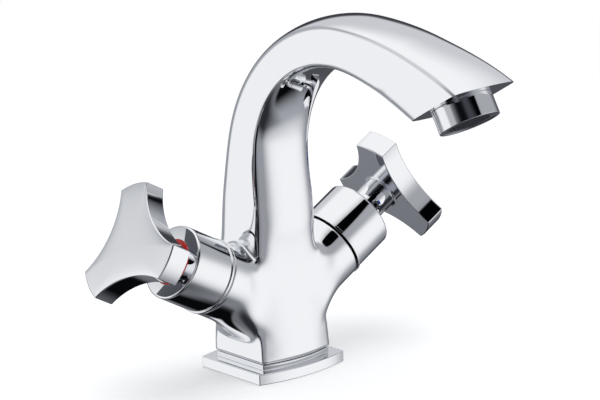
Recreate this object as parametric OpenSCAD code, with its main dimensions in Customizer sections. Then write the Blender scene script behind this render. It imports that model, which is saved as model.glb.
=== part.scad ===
// Two-handle monobloc basin mixer with a cast arched spout.
// Z is up and the deck is the plane z = 0.  The spout points to -Y.
// The hot arm leans out to -X and the cold arm to +X, and both arm axes cross the Z axis.
// Pieces on an arm are drawn along that arm's axis: their z is the distance from the crossing.

/* [Base plate] */
// Width of the base plate, side to side
base_w = 50; // [48:1:64]
// Depth of the base plate at its corners, front to back
base_d = 41; // [40:1:56]
// How far the front and back edges of the base plate bow out
base_bow = 4; // [2:0.5:7]
// Thickness of the base plate
base_t = 5; // [4:0.5:9]
// Height of the step that the body stands on
step_h = 2.3; // [1.5:0.1:4]
// How far the step stands in from the foot of the body
step_inset = 0.4; // [0.2:0.1:1]
// Thickness of the deck gasket
gasket_t = 1.6; // [1:0.1:2.5]
// Width of the deck gasket's ring
gasket_w = 2.2; // [1.5:0.1:3]

/* [Body] */
// Width of the body at its foot
foot_w = 39.6; // [38:0.2:44]
// Depth of the body at its foot, corner to corner
foot_d = 34; // [34:0.5:39]
// How far the front and back of the body bow out at the foot
foot_bow = 3.4; // [2:0.2:6]
// Rounding of the body's upright edges
edge_r = 1.6; // [0.8:0.1:2.5]
// Radius of the shank that passes down through the base plate
shank_r = 15.6; // [15:0.1:16]

/* [Arms] */
// Lean of each arm above the horizontal, in degrees
arm_tilt = 29.5; // [24:0.5:34]
// Height above the deck at which the two arm axes cross
arm_cross_z = 29; // [26:0.5:33]
// Radius of an arm
arm_r = 17.2; // [16.6:0.1:18.5]
// Length of an arm along its axis, from the crossing to its end face
arm_len = 41; // [40:0.5:50]
// Size of the fillet under each arm
under_fillet = 6.5; // [3:0.5:8]

/* [Spout] */
// Height of the neck's root
root_z = 60; // [58:1:66]
// Depth of the neck at its root
root_d = 28.4; // [25:0.1:31]
// Width of the neck at its root
root_w = 35; // [33:0.5:37]
// How far the neck's root sits behind the arm axes
root_y = 0.7; // [0:0.1:3]
// Height of the shoulder, where the neck starts to lean forward
shoulder_z = 108; // [100:1:116]
// Depth of the neck at the shoulder
shoulder_d = 20.6; // [19:0.1:24]
// Width of the neck at the shoulder
shoulder_w = 32; // [30:0.5:35]
// How far the shoulder sits in front of the arm axes
shoulder_y = 3.3; // [2:0.1:7]
// Height of the crest, at its edges
crest_h = 167.5; // [160:0.5:180]
// Thickness of the spout at its crest
crest_t = 18.4; // [17:0.1:22]
// Width of the spout at its crest
crest_w = 30.4; // [29:0.2:34]
// How far the crest sits in front of the arm axes
crest_y = 65.4; // [60:0.2:72]
// Rise of the rounded top face over its edges at the crest
crest_crown = 3.6; // [1:0.2:4.6]
// Reach from the arm axes to the middle of the outlet face
reach = 130; // [124:1:142]
// Height of the middle of the outlet face
outlet_z = 142.2; // [137:0.1:149]
// Length of the outlet face, heel to lip
outlet_len = 32.4; // [31:0.1:36]
// Width of the outlet face
outlet_w = 35.6; // [35:0.2:40]
// Tilt of the outlet face, lip above heel, in degrees
outlet_tilt = 29.3; // [25:0.1:34]
// Rise of the rounded top face over its edges at the lip
lip_crown = 1.8; // [0.6:0.1:3]
// Wall thickness of the spout casting
spout_wall = 3.2; // [2.4:0.1:3.8]

/* [Valves] */
// Radius of the headpart's thread in the arm
thread_r = 10.2; // [9.8:0.1:10.4]
// Length of the headpart's thread
thread_len = 10; // [8:0.5:12]
// Length of the headpart's nose below the thread
nose_len = 12; // [11:0.5:13]
// Radius of the headpart's nose
nose_r = 9.1; // [8.9:0.1:9.3]
// Width across the flats of the headpart's hexagon
hex_af = 24; // [22:0.5:25]
// Height of the hexagon
hex_h = 6; // [4:0.5:8]
// Radius of the collar that carries the cap
collar_r = 8.5; // [8:0.1:9.5]
// Height of the collar
collar_h = 5; // [4:0.5:6]
// Radius of the spindle
spindle_r = 4.5; // [4:0.1:5]
// Depth of the O-ring grooves in the spindle
groove_depth = 1.3; // [1:0.1:1.6]
// Radius of the ceramic discs
disc_r = 7.6; // [7:0.1:7.8]
// Thickness of the fixed ceramic disc
fixed_disc_t = 3; // [2.5:0.1:4]
// Thickness of the moving ceramic disc
moving_disc_t = 2.6; // [2:0.1:3]
// Thickness of the rubber seat seal
seat_seal_t = 2; // [1.5:0.1:2.5]
// Thickness of the flat gasket under the hexagon
head_gasket_t = 1; // [0.8:0.1:1.5]

/* [Caps] */
// Radius of the cap over each valve
cap_r = 17; // [16.4:0.1:18.4]
// Length of the cap
cap_len = 22; // [21:0.5:26]
// Wall thickness of the cap
cap_wall = 1.5; // [1:0.1:2]
// Thickness of the cap's end
cap_end_t = 2.6; // [2.2:0.1:3.5]
// Rounding of the cap's outer edge
cap_round = 1.2; // [0.6:0.1:2]
// Gap between the arm and the cap
seam_gap = 0.6; // [0.3:0.1:1]
// How far the cap's lip stands out
lip_out = 0.6; // [0.3:0.1:1]
// Length of the cap's lip
lip_len = 1.2; // [0.8:0.1:2]
// Radius of the coloured index ring
index_r = 10.5; // [9.5:0.1:12]
// Thickness of the index ring
index_t = 1.3; // [1:0.1:1.6]

/* [Handles] */
// Radius to the ends of the handle's three lobes
lobe_r = 28.6; // [26:0.2:32]
// Smallest radius of the handle, half way between two lobes
waist_r = 15.5; // [14:0.5:18]
// Half the angle that one lobe's end spans, in degrees
lobe_half_angle = 16.4; // [13:0.2:20]
// Thickness of the handle's plate
plate_t = 10.7; // [8:0.1:13]
// Length of the hub between the cap and the plate
hub_len = 15.3; // [14:0.1:20]
// Radius of the hub
hub_r = 8; // [7.2:0.1:9]
// Height and width of the fillet at the foot of the hub
hub_fillet = 1; // [0.5:0.1:1.5]
// Running gap between the cap and the hub
hub_gap = 0.3; // [0.2:0.1:0.6]
// Angle of the hot handle's first lobe from the back, in degrees
hot_lobe_angle = 66; // [0:1:119]
// Angle of the cold handle's first lobe from the back, in degrees
cold_lobe_angle = 106; // [0:1:119]
// Angle from the hot handle's first lobe to its grub screw, in degrees
hot_grub_turn = 180; // [60:120:300]
// Angle from the cold handle's first lobe to its grub screw, in degrees
cold_grub_turn = 60; // [60:120:300]
// Radius of the grub screw
grub_r = 2; // [1.5:0.1:2.5]

/* [Aerator] */
// Outer radius of the aerator's housing
aerator_r = 13.3; // [13:0.1:14.5]
// Length of the housing below the outlet face
aerator_len = 9.8; // [9.4:0.1:12]
// How far the aerator sits from the middle of the outlet towards its heel
aerator_shift = 1; // [0:0.1:1.5]
// Radius of the spigot that the housing screws onto
spigot_r = 11; // [10.6:0.1:11.4]
// Length of the spigot
spigot_len = 5.5; // [5:0.1:6]
// Radius of the waterway through the spigot
spigot_bore_r = 8.6; // [8:0.1:9]
// Thickness of the aerator's gasket
aerator_gasket_t = 1.5; // [1:0.1:2]

/* [Connections] */
// Radius of the two hose inlets, tapped M10 x 1
inlet_r = 4.5; // [4.3:0.1:4.7]
// Depth of the tapped part of an inlet
inlet_depth = 12; // [8:0.5:14]
// Distance of each inlet from the middle, side to side
inlet_x = 8; // [7.5:0.1:8.5]
// How far the inlets sit behind the middle
inlet_y = 2; // [1:0.5:3]
// Radius of the hole for the fixing stud, tapped M8
stud_r = 3.4; // [2.8:0.1:3.6]
// Depth of the stud hole
stud_depth = 16; // [10:1:20]
// How far the stud hole sits in front of the middle
stud_y = 10; // [9:0.1:11]
// Radius of the waterways inside the body
waterway_r = 3.8; // [3:0.1:4]

/* [Hidden] */

$fn = 64;
eps = 0.01;          // overlap that keeps a cut clean
play = 0.05;         // radial clearance of a running fit or a thread
seat_play = 0.02;    // gap between two faces that slide on each other

HOT = -1;
COLD = 1;

// ---------------------------------------------------------------- placing

module on_arm(side)
    translate([0, 0, arm_cross_z])
        rotate([0, side * (90 - arm_tilt), 0])
            children();

// A lobe angle is measured about the arm axis from the back (+Y) towards the top.
module turned(side, angle)
    rotate([0, 0, 90 + side * angle]) children();

module ring(r_out, r_in, h)
    difference() {
        cylinder(r = r_out, h = h);
        translate([0, 0, -eps]) cylinder(r = r_in, h = h + 2 * eps);
    }

module up(z)
    translate([0, 0, z]) children();

// ------------------------------------------------------- stations on an arm

seat_z = arm_len - thread_len - nose_len - seat_seal_t;     // floor of the valve chamber
nose_z = seat_z + seat_seal_t;                              // end of the headpart's nose
disc_split_z = nose_z + fixed_disc_t;                       // face where the ceramic discs meet
driver_z = disc_split_z + seat_play + moving_disc_t + seat_play;
driver_h = 3.2;                                             // height of the spindle's driver
glide_t = 0.6;                                              // thickness of the glide ring
shoulder_in_z = driver_z + driver_h + glide_t + 3 * seat_play;
hex_z = arm_len + head_gasket_t;
collar_z = hex_z + hex_h;
collar_top_z = collar_z + collar_h;
circlip_t = 0.8;
cap_z = arm_len + seam_gap;
cap_top_z = cap_z + cap_len;
hub_z = cap_top_z + hub_gap;
plate_z = hub_z + hub_len;
spindle_top_z = plate_z - 2;
grub_z = hub_z + hub_len / 3;

nose_bore_r = disc_r + 2 * play;
spindle_bore_r = spindle_r + play;
seat_bore_r = 4.5;
chamber_r = 11.6;
oring_z = [arm_len - 8, arm_len - 4];
oring_t = groove_depth - 0.04;
head_gasket_r = hex_af / 2;
web_hole_r = spindle_r + 1.5;
window_w = 7;                                               // width of the nose's two side ports

// -------------------------------------------------------------- base plate

function bow_radius(w, bow) = (w * w / 4 + bow * bow) / (2 * bow);

// A rectangle with straight sides, whose front and back edges bow out past its corners.
module bowed_rect(w, d, bow) {
    r = bow_radius(w, bow);
    intersection() {
        square([w, d + 2 * bow], center = true);
        translate([0, d / 2 + bow - r]) circle(r = r, $fn = 200);
        translate([0, r - d / 2 - bow]) circle(r = r, $fn = 200);
    }
}

foot_z = base_t + step_h;
gasket_r = (base_d / 2 + shank_r) / 2 + gasket_w / 2;

module base_plate()
    color("gainsboro")
        difference() {
            union() {
                linear_extrude(base_t) bowed_rect(base_w, base_d, base_bow);
                linear_extrude(foot_z)
                    bowed_rect(foot_w - 2 * step_inset, foot_d - 2 * step_inset, foot_bow);
            }
            up(-eps) cylinder(r = shank_r + play, h = foot_z + 2 * eps);
            up(-eps) ring(gasket_r, gasket_r - gasket_w, gasket_t + eps);
        }

module base_gasket()
    color("dimgray") ring(gasket_r, gasket_r - gasket_w, gasket_t);

// ------------------------------------------------------------ spout curves

function mix(a, b, t) = a + (b - a) * t;
function smooth(t) = t * t * (3 - 2 * t);
function aim(heading) = [cos(heading), sin(heading)];

// A point on the curve from p to q that leaves p and reaches q at the given headings.
// The pull is the one that makes an even turn follow a circle.
function hermite(p, q, leave, arrive, t) =
    let (l = norm(q - p) / pow(cos((arrive - leave) / 4), 2))
    (1 + 2 * t) * (1 - t) * (1 - t) * p + t * (1 - t) * (1 - t) * l * aim(leave)
    + t * t * (3 - 2 * t) * q - t * t * (1 - t) * l * aim(arrive);

// Knots of the casting's side view, from the foot to the outlet.  Each holds the middle
// of a section as [y, z], its depth, its lean, the headings of its back and front edges,
// its half width, and the bows of its back and front faces.
crest_lean = 105;
fall_share = 0.53;      // how far along from the crest to the outlet the spout is narrowest
crest_mid = [-crest_y, crest_h - crest_t / 2];
outlet_mid = [-reach, outlet_z];
foot_knot = [[0, foot_z], foot_d, 0, 90, 90, foot_w / 2, foot_bow, foot_bow];
root_knot = [[root_y, root_z], root_d, 0, 99.5, 100, root_w / 2, 2.8, 3.4];
shoulder_knot = [[-shoulder_y, shoulder_z], shoulder_d, 11, 106, 96.5, shoulder_w / 2, 2.8, 3];
crest_knot = [crest_mid, crest_t / cos(crest_lean - 90), crest_lean, 180, 180,
    crest_w / 2, crest_crown, 2];
fall_knot = [mix(crest_mid, outlet_mid, fall_share) + [0, 3.1], mix(crest_t, outlet_len, 0.42),
    mix(crest_lean, 180 - outlet_tilt, 0.47), 193.6, 197.6, crest_w / 2 - 0.5, lip_crown, 1.6];
outlet_knot = [outlet_mid, outlet_len, 180 - outlet_tilt, 206, 202, outlet_w / 2, lip_crown, 1.2];
knots = [foot_knot, root_knot, shoulder_knot, crest_knot, fall_knot, outlet_knot];

function back_of(k) = k[0] + k[1] / 2 * aim(k[2]);
function front_of(k) = k[0] - k[1] / 2 * aim(k[2]);

// A section at t along span s: [back edge, front edge, half width, back bow, front bow]
function section(s, t) =
    let (a = knots[s], b = knots[s + 1], u = smooth(t))
    [hermite(back_of(a), back_of(b), a[3], b[3], t),
     hermite(front_of(a), front_of(b), a[4], b[4], t),
     mix(a[5], b[5], u), mix(a[6], b[6], u), mix(a[7], b[7], u)];

// The same section, drawn in from its faces.
function shrunk(sec, by) =
    let (dir = (sec[0] - sec[1]) / norm(sec[0] - sec[1]))
    [sec[0] - by * dir, sec[1] + by * dir, sec[2] - by, sec[3], sec[4]];

function bow_at(x, w, bow) = bow * (1 - x * x / (w * w));
function bezier2(a, b, c, t) = (1 - t) * (1 - t) * a + 2 * t * (1 - t) * b + t * t * c;

FACE_STEPS = 8;
CORNER_STEPS = 4;

// One face of a section and the rounded corner after it, as [x, depth] points.
function face_points(w, depth, bow, r) =
    let (x1 = w - r, y1 = depth + bow_at(x1, w, bow), slope = 2 * bow * x1 / (w * w))
    concat(
        [for (i = [0:FACE_STEPS]) let (x = mix(-x1, x1, i / FACE_STEPS)) [x, depth + bow_at(x, w, bow)]],
        [for (i = [1:CORNER_STEPS])
            bezier2([x1, y1], [w, y1 - slope * r], [w, depth - r], i / CORNER_STEPS)]
    );

// The outline of a section, as [x, distance from the middle towards the back].
function outline(sec, r) =
    let (half = norm(sec[0] - sec[1]) / 2,
         back = face_points(sec[2], half, sec[3], r),
         front = face_points(sec[2], half, sec[4], r))
    concat(
        [for (p = back) p],
        [for (i = [0:CORNER_STEPS - 1]) let (p = front[len(front) - 1 - i]) [p[0], -p[1]]],
        [for (i = [FACE_STEPS:-1:0]) let (p = front[i]) [p[0], -p[1]]],
        [for (i = [1:CORNER_STEPS]) let (p = front[FACE_STEPS + i]) [-p[0], -p[1]]],
        [for (i = [CORNER_STEPS:-1:1]) let (p = back[FACE_STEPS + i]) [-p[0], p[1]]]
    );

function section_ring(sec, r) =
    let (mid = (sec[0] + sec[1]) / 2, dir = (sec[0] - sec[1]) / norm(sec[0] - sec[1]))
    [for (p = outline(sec, r)) [p[0], mid[0] + p[1] * dir[0], mid[1] + p[1] * dir[1]]];

// A closed solid through a list of rings that all have the same number of points.
module loft(rings) {
    n = len(rings[0]);
    last = len(rings) - 1;
    polyhedron(
        points = [for (r = rings) for (p = r) p],
        faces = concat(
            [for (i = [0:last - 1]) for (j = [0:n - 1])
                [i * n + j, i * n + (j + 1) % n, (i + 1) * n + (j + 1) % n, (i + 1) * n + j]],
            [[for (j = [n - 1:-1:0]) j]],
            [[for (j = [0:n - 1]) last * n + j]]
        )
    );
}

span_steps = [7, 6, 13, 5, 5];
last_span = len(span_steps) - 1;

function spans(first, from_t) =
    [for (s = [first:last_span]) for (i = [0:span_steps[s] - (s == last_span ? 0 : 1)])
        if (s > first || i / span_steps[s] >= from_t) section(s, i / span_steps[s])];

// The foot's lower edge is rounded in towards the step.
foot_round = 1.4;
function foot_edge(drop, inset) =
    let (sec = section(0, 0), z = foot_z + drop)
    shrunk([[sec[0][0], z], [sec[1][0], z], sec[2], sec[3], sec[4]], inset);

module spine_solid()
    loft(concat(
        [section_ring(foot_edge(0, foot_round), edge_r),
         section_ring(foot_edge(0.3 * foot_round, 0.3 * foot_round), edge_r),
         section_ring(foot_edge(foot_round, 0), edge_r)],
        [for (s = spans(0, 0.1)) section_ring(s, edge_r)]
    ));

// --------------------------------------------------------------- arm roots

// How far the arm has to swell below, at z along its axis, to meet the body's side,
// eased in by the fillet's size.
function swell(z) =
    let (g = (foot_w / 2 - 0.4 - z * cos(arm_tilt)) / sin(arm_tilt) - arm_r)
    (g + sqrt(g * g + under_fillet * under_fillet)) / 2;

root_start = 8;
root_end = arm_len - 4;
ROOT_STEPS = 15;
ROOT_POINTS = 48;

// A circle that swells on the arm's underside, where x is positive.
function root_ring(z) =
    let (under = smooth(min(1, (root_end - z) / 8)) * swell(z))
    [for (i = [0:ROOT_POINTS - 1])
        let (a = 360 * i / ROOT_POINTS, r = arm_r + under * pow(max(0, sin(a)), 1.3))
        [r * sin(a), r * cos(a), z]];

module arm_root()
    loft([for (i = [0:ROOT_STEPS]) root_ring(mix(root_start, root_end, i / ROOT_STEPS))]);

module arm(side)
    on_arm(side) {
        up(2) cylinder(r = arm_r, h = arm_len - 2);
        if (side == HOT) mirror([1, 0, 0]) arm_root();
        else arm_root();
    }

// ---------------------------------------------------------------- waterways

module tube_between(p, q, r)
    translate(p)
        rotate([0, acos((q - p)[2] / norm(q - p)), atan2((q - p)[1], (q - p)[0])])
            cylinder(r = r, h = norm(q - p));

function on_axis(side, along, above) =
    [side * (along * cos(arm_tilt) - above * sin(arm_tilt)), 0,
     arm_cross_z + along * sin(arm_tilt) + above * cos(arm_tilt)];

feed_z = inlet_x / cos(arm_tilt);       // where the feed meets the arm axis
mix_from = nose_z + 5;

module waterways(side) {
    translate([side * inlet_x, inlet_y, -eps]) {
        cylinder(r = inlet_r, h = inlet_depth + eps);
        cylinder(r = waterway_r, h = arm_cross_z + feed_z * sin(arm_tilt));
    }
    on_arm(side) {
        up(feed_z) cylinder(r = seat_bore_r, h = arm_len - feed_z);
        up(seat_z) cylinder(r = nose_r + 0.5, h = arm_len - seat_z);
        up(seat_z + seat_seal_t + 1) cylinder(r = chamber_r, h = nose_len - 2);
        up(arm_len - thread_len) cylinder(r = thread_r + play, h = thread_len + eps);
    }
    tube_between(on_axis(side, mix_from, nose_r), [side * 5, root_y, root_z + 8], waterway_r);
}

module spout_cavity()
    loft([for (s = spans(1, 0.12)) section_ring(shrunk(s, spout_wall), edge_r)]);

outlet_front = front_of(outlet_knot);

module on_outlet()
    translate([0, -reach + aerator_shift * cos(outlet_tilt), outlet_z - aerator_shift * sin(outlet_tilt)])
        rotate([180 - outlet_tilt, 0, 0])
            children();

module body_casting()
    color("silver")
        difference() {
            union() {
                spine_solid();
                arm(HOT);
                arm(COLD);
                cylinder(r = shank_r, h = foot_z + 4);
                on_outlet() up(-2) cylinder(r = spigot_r, h = spigot_len + 2);
            }
            waterways(HOT);
            waterways(COLD);
            translate([0, -stud_y, -eps]) cylinder(r = stud_r, h = stud_depth + eps);
            on_outlet() up(-9) cylinder(r = spigot_bore_r, h = spigot_len + 10);
            spout_cavity();
        }

// ------------------------------------------------------------------ valves

module headpart()
    color("darkgoldenrod")
        difference() {
            union() {
                up(nose_z) cylinder(r = nose_r, h = nose_len);
                up(arm_len - thread_len) cylinder(r = thread_r, h = thread_len + head_gasket_t);
                up(hex_z) cylinder(r = hex_af / 2 / cos(30), h = hex_h, $fn = 6);
                up(collar_z) cylinder(r = collar_r, h = collar_h);
            }
            up(nose_z - eps) cylinder(r = nose_bore_r, h = shoulder_in_z - nose_z + eps);
            up(nose_z) cylinder(r = spindle_bore_r, h = collar_top_z - nose_z + eps);
            for (s = [-1, 1])
                translate([s * nose_r, 0, (disc_split_z + shoulder_in_z) / 2])
                    cube([2 * (nose_r - nose_bore_r + 1), window_w, shoulder_in_z - disc_split_z - 1],
                        center = true);
        }

module headpart_gasket()
    color("firebrick") up(arm_len) ring(head_gasket_r, thread_r + play, head_gasket_t);

module seat_seal()
    color("dimgray") up(seat_z) ring(nose_r - 0.3, seat_bore_r, seat_seal_t);

// The fixed disc has one water port and the moving disc uncovers it as it turns.
module port(angle)
    intersection() {
        cylinder(r = disc_r - 1.6, h = 10);
        rotate([0, 0, angle]) translate([0.8, 0.8, 0]) cube([disc_r, disc_r, 10]);
    }

module fixed_disc()
    color("white")
        difference() {
            up(nose_z) cylinder(r = disc_r, h = fixed_disc_t);
            for (a = [0, 180]) up(nose_z - 5) port(a);
        }

module moving_disc()
    color("whitesmoke")
        difference() {
            up(disc_split_z + seat_play) cylinder(r = disc_r, h = moving_disc_t);
            for (a = [90, 270]) up(disc_split_z - 5) port(a);
        }

module spindle()
    color("goldenrod")
        difference() {
            union() {
                up(driver_z) cylinder(r = disc_r - 0.1, h = driver_h);
                up(driver_z) cylinder(r = spindle_r, h = spindle_top_z - driver_z);
            }
            for (z = oring_z)
                up(z - oring_t / 2 - play)
                    ring(spindle_r + 1, spindle_r - groove_depth, oring_t + 2 * play);
            up(collar_top_z + play) ring(spindle_r + 1, spindle_r - 1, circlip_t + play);
        }

module glide_ring()
    color("ivory") up(driver_z + driver_h + seat_play) ring(disc_r - 0.2, spindle_bore_r, glide_t);

module spindle_orings()
    color("black")
        for (z = oring_z)
            up(z)
                rotate_extrude()
                    translate([spindle_r - groove_depth + oring_t / 2 + 0.02, 0]) circle(r = oring_t / 2, $fn = 24);

module circlip()
    color("slategray")
        up(collar_top_z + 1.5 * play)
            difference() {
                ring(spindle_r + 1.4, spindle_r - 0.95, circlip_t - play);
                translate([0, -1.2, -eps]) cube([spindle_r + 2, 2.4, circlip_t]);
            }

// -------------------------------------------------------------------- caps

function arc_points(cx, cy, r, a0, a1, steps) =
    [for (i = [0:steps]) let (a = mix(a0, a1, i / steps)) [cx + r * cos(a), cy + r * sin(a)]];

module cap()
    color("gainsboro")
        difference() {
            union() {
                rotate_extrude(convexity = 4)
                    polygon(concat(
                        [[collar_r + play, cap_z], [cap_r + lip_out, cap_z],
                         [cap_r + lip_out, cap_z + lip_len], [cap_r, cap_z + lip_len]],
                        arc_points(cap_r - cap_round, cap_top_z - cap_round, cap_round, 0, 90, 6),
                        [[collar_r + play, cap_top_z]]
                    ));
                up(cap_top_z - cap_end_t) cylinder(r = collar_r + 1, h = cap_end_t);
            }
            up(cap_z - eps) cylinder(r = cap_r - cap_wall, h = collar_z - cap_z + eps);
            up(collar_z - eps)
                ring(cap_r - cap_wall, collar_r + 2.5, cap_top_z - cap_end_t - collar_z + eps);
            up(cap_top_z - cap_end_t - 1) cylinder(r = web_hole_r, h = cap_end_t + 2);
            up(cap_top_z - index_t + play) cylinder(r = index_r + play, h = index_t);
        }

module index_ring(tint)
    color(tint)
        up(cap_top_z - index_t + play) ring(index_r, web_hole_r + 0.3, index_t);

// ----------------------------------------------------------------- handles

// Each side between two lobes is an arc through their corners and the waist.
corner_mid = lobe_r * cos(60 - lobe_half_angle);
corner_half = lobe_r * sin(60 - lobe_half_angle);
side_sag = corner_mid - waist_r;
side_arc_r = (corner_half * corner_half + side_sag * side_sag) / (2 * side_sag);

module handle_outline()
    difference() {
        circle(r = lobe_r, $fn = 120);
        for (k = [0:2])
            rotate(60 + 120 * k) translate([waist_r + side_arc_r, 0]) circle(r = side_arc_r, $fn = 160);
    }

module handle(side, angle, grub_turn)
    color("gainsboro")
        difference() {
            union() {
                turned(side, angle) up(plate_z) linear_extrude(plate_t) handle_outline();
                up(hub_z) cylinder(r = hub_r, h = hub_len + 1);
                up(plate_z - hub_fillet) cylinder(r1 = hub_r, r2 = hub_r + hub_fillet, h = hub_fillet);
            }
            up(hub_z - eps) cylinder(r = spindle_bore_r, h = spindle_top_z - hub_z + 0.3);
            turned(side, angle + grub_turn) up(grub_z) rotate([0, 90, 0]) {
                cylinder(r = grub_r + play, h = hub_r + 1);
                up(hub_r - 0.6) cylinder(r1 = grub_r, r2 = grub_r + 0.8, h = 0.8);
            }
        }

module grub_screw(side, angle)
    color("dimgray")
        turned(side, angle) up(grub_z) rotate([0, 90, 0])
            difference() {
                up(spindle_r) cylinder(r = grub_r, h = hub_r - 0.8 - spindle_r);
                up(hub_r - 2.4) cylinder(r = grub_r / 2 / cos(30), h = 2, $fn = 6);
            }

// ----------------------------------------------------------------- aerator

gasket_z = spigot_len;
insert_z = gasket_z + aerator_gasket_t;
insert_r = spigot_r - 0.5;
housing_lip = 0.9;
mouth_r = insert_r - 1.2;

module aerator_housing()
    color("gainsboro")
        on_outlet()
            difference() {
                up(play) cylinder(r = aerator_r, h = aerator_len - play);
                cylinder(r = spigot_r + play, h = aerator_len - housing_lip);
                cylinder(r = mouth_r + play, h = aerator_len + eps);
            }

module aerator_gasket()
    color("black") on_outlet() up(gasket_z) ring(spigot_r - 0.2, spigot_bore_r, aerator_gasket_t);

module aerator_insert()
    color("dimgray")
        on_outlet()
            difference() {
                union() {
                    up(insert_z) cylinder(r = insert_r, h = aerator_len - housing_lip - insert_z - seat_play);
                    up(insert_z) cylinder(r = mouth_r, h = aerator_len - 0.4 - insert_z);
                }
                for (k = [0:5]) rotate(60 * k) translate([5.2, 0, insert_z - eps]) cylinder(r = 1.9, h = 5);
                up(insert_z - eps) cylinder(r = 1.9, h = 5);
            }

module aerator_screen()
    color("lightslategray")
        on_outlet()
            up(insert_z - seat_play) mirror([0, 0, 1])
                rotate_extrude()
                    polygon([[0, 2.2], [3, 2], [6, 1.2], [spigot_bore_r - 0.4, 0],
                             [spigot_bore_r - 0.8, 0], [5.8, 0.8], [3, 1.6], [0, 1.8]]);

// -------------------------------------------------------------- assembling

module hot() on_arm(HOT) children();
module cold() on_arm(COLD) children();

base_plate();
base_gasket();
body_casting();

hot() headpart();  // hot_headpart
hot() headpart_gasket();  // hot_headpart_gasket
hot() seat_seal();  // hot_seat_seal
hot() fixed_disc();  // hot_fixed_disc
hot() moving_disc();  // hot_moving_disc
hot() spindle();  // hot_spindle
hot() glide_ring();  // hot_glide_ring
hot() spindle_orings();  // hot_spindle_orings
hot() circlip();  // hot_circlip
hot() cap();  // hot_cap
hot() index_ring("red");  // hot_index_ring
hot() handle(HOT, hot_lobe_angle, hot_grub_turn);  // hot_handle
hot() grub_screw(HOT, hot_lobe_angle + hot_grub_turn);  // hot_grub_screw

cold() headpart();  // cold_headpart
cold() headpart_gasket();  // cold_headpart_gasket
cold() seat_seal();  // cold_seat_seal
cold() fixed_disc();  // cold_fixed_disc
cold() moving_disc();  // cold_moving_disc
cold() spindle();  // cold_spindle
cold() glide_ring();  // cold_glide_ring
cold() spindle_orings();  // cold_spindle_orings
cold() circlip();  // cold_circlip
cold() cap();  // cold_cap
cold() index_ring("royalblue");  // cold_index_ring
cold() handle(COLD, cold_lobe_angle, cold_grub_turn);  // cold_handle
cold() grub_screw(COLD, cold_lobe_angle + cold_grub_turn);  // cold_grub_screw

aerator_housing();
aerator_insert();
aerator_screen();
aerator_gasket();
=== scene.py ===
import math

import bmesh
import bpy
import numpy as np
from mathutils import Matrix, Vector


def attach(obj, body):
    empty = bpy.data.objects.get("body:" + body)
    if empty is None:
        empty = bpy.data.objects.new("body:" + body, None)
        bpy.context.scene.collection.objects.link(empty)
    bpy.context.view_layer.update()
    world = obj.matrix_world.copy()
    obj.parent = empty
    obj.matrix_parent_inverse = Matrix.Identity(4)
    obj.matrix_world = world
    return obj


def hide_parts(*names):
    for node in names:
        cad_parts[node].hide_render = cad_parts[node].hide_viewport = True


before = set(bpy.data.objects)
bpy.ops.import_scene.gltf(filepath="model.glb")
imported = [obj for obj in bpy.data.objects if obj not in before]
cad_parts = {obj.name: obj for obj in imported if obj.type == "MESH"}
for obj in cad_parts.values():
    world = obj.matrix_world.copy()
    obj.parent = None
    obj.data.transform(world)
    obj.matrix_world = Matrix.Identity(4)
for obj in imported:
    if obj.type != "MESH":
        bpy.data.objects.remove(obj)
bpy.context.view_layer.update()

# ------------------------------------------------------------------------------------------
# Camera.  It stands left of the spout and a little above it, far enough off that the faucet
# is seen nearly without perspective, and it is rolled a couple of degrees.
# ------------------------------------------------------------------------------------------
MM = 0.001
AIM_AT = Vector((-5.5, -30.0, 83.8)) * MM
CAMERA_DISTANCE = 1281 * MM
CAMERA_AZIMUTH, CAMERA_ELEVATION, CAMERA_ROLL = -40.04, 14.68, -2.17       # degrees
scene = bpy.context.scene


def direction_at(azimuth, elevation):
    """The direction at an azimuth, from the front towards the right, and an elevation, in degrees."""
    turn, rise = math.radians(azimuth), math.radians(elevation)
    return Vector((math.sin(turn) * math.cos(rise), -math.cos(turn) * math.cos(rise), math.sin(rise)))


towards_camera = direction_at(CAMERA_AZIMUTH, CAMERA_ELEVATION)
level_right = direction_at(CAMERA_AZIMUTH + 90, 0)
level_up = towards_camera.cross(level_right)
roll = math.radians(CAMERA_ROLL)
camera_right = math.cos(roll) * level_right + math.sin(roll) * level_up
camera_up = towards_camera.cross(camera_right)

camera = bpy.data.objects.new("camera", bpy.data.cameras.new("camera"))
camera.data.sensor_width = 36
camera.data.lens = 174.2
camera.data.clip_end = 50
camera.matrix_world = Matrix.Translation(AIM_AT + CAMERA_DISTANCE * towards_camera) @ Matrix((
    camera_right, camera_up, towards_camera)).transposed().to_4x4()
scene.collection.objects.link(camera)
scene.camera = camera


# ------------------------------------------------------------------------------------------
# Studio.  A white sweep, a soft overhead box and dark cards, as polished metal is lit so
# that its edges read as dark lines between white faces.
# ------------------------------------------------------------------------------------------
def srgb(hex_colour):
    """An sRGB hex colour as a linear RGBA value."""
    parts = [int(hex_colour[i:i + 2], 16) / 255 for i in (1, 3, 5)]
    return tuple(c / 12.92 if c <= 0.04045 else ((c + 0.055) / 1.055) ** 2.4 for c in parts) + (1,)


def add_node(tree, kind, settings=None, inputs=None):
    """Adds a shader node, sets its own settings, and sets or links its inputs."""
    node = tree.nodes.new("ShaderNode" + kind)
    for name, value in (settings or {}).items():
        setattr(node, name, value)
    for name, value in (inputs or {}).items():
        if isinstance(value, bpy.types.NodeSocket):
            tree.links.new(value, node.inputs[name])
        else:
            node.inputs[name].default_value = value
    return node


def new_material(name):
    """An empty node material, with its tree and its output node."""
    material = bpy.data.materials.new(name)
    material.use_nodes = True
    material.node_tree.nodes.clear()
    return material, material.node_tree, add_node(material.node_tree, "OutputMaterial")


scene.view_settings.view_transform = "Standard"
PAPER_WHITE = srgb("#ffffff")

world = bpy.data.worlds.new("studio")
world.use_nodes = True
world.node_tree.nodes.clear()
scene.world = world
tree = world.node_tree

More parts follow.
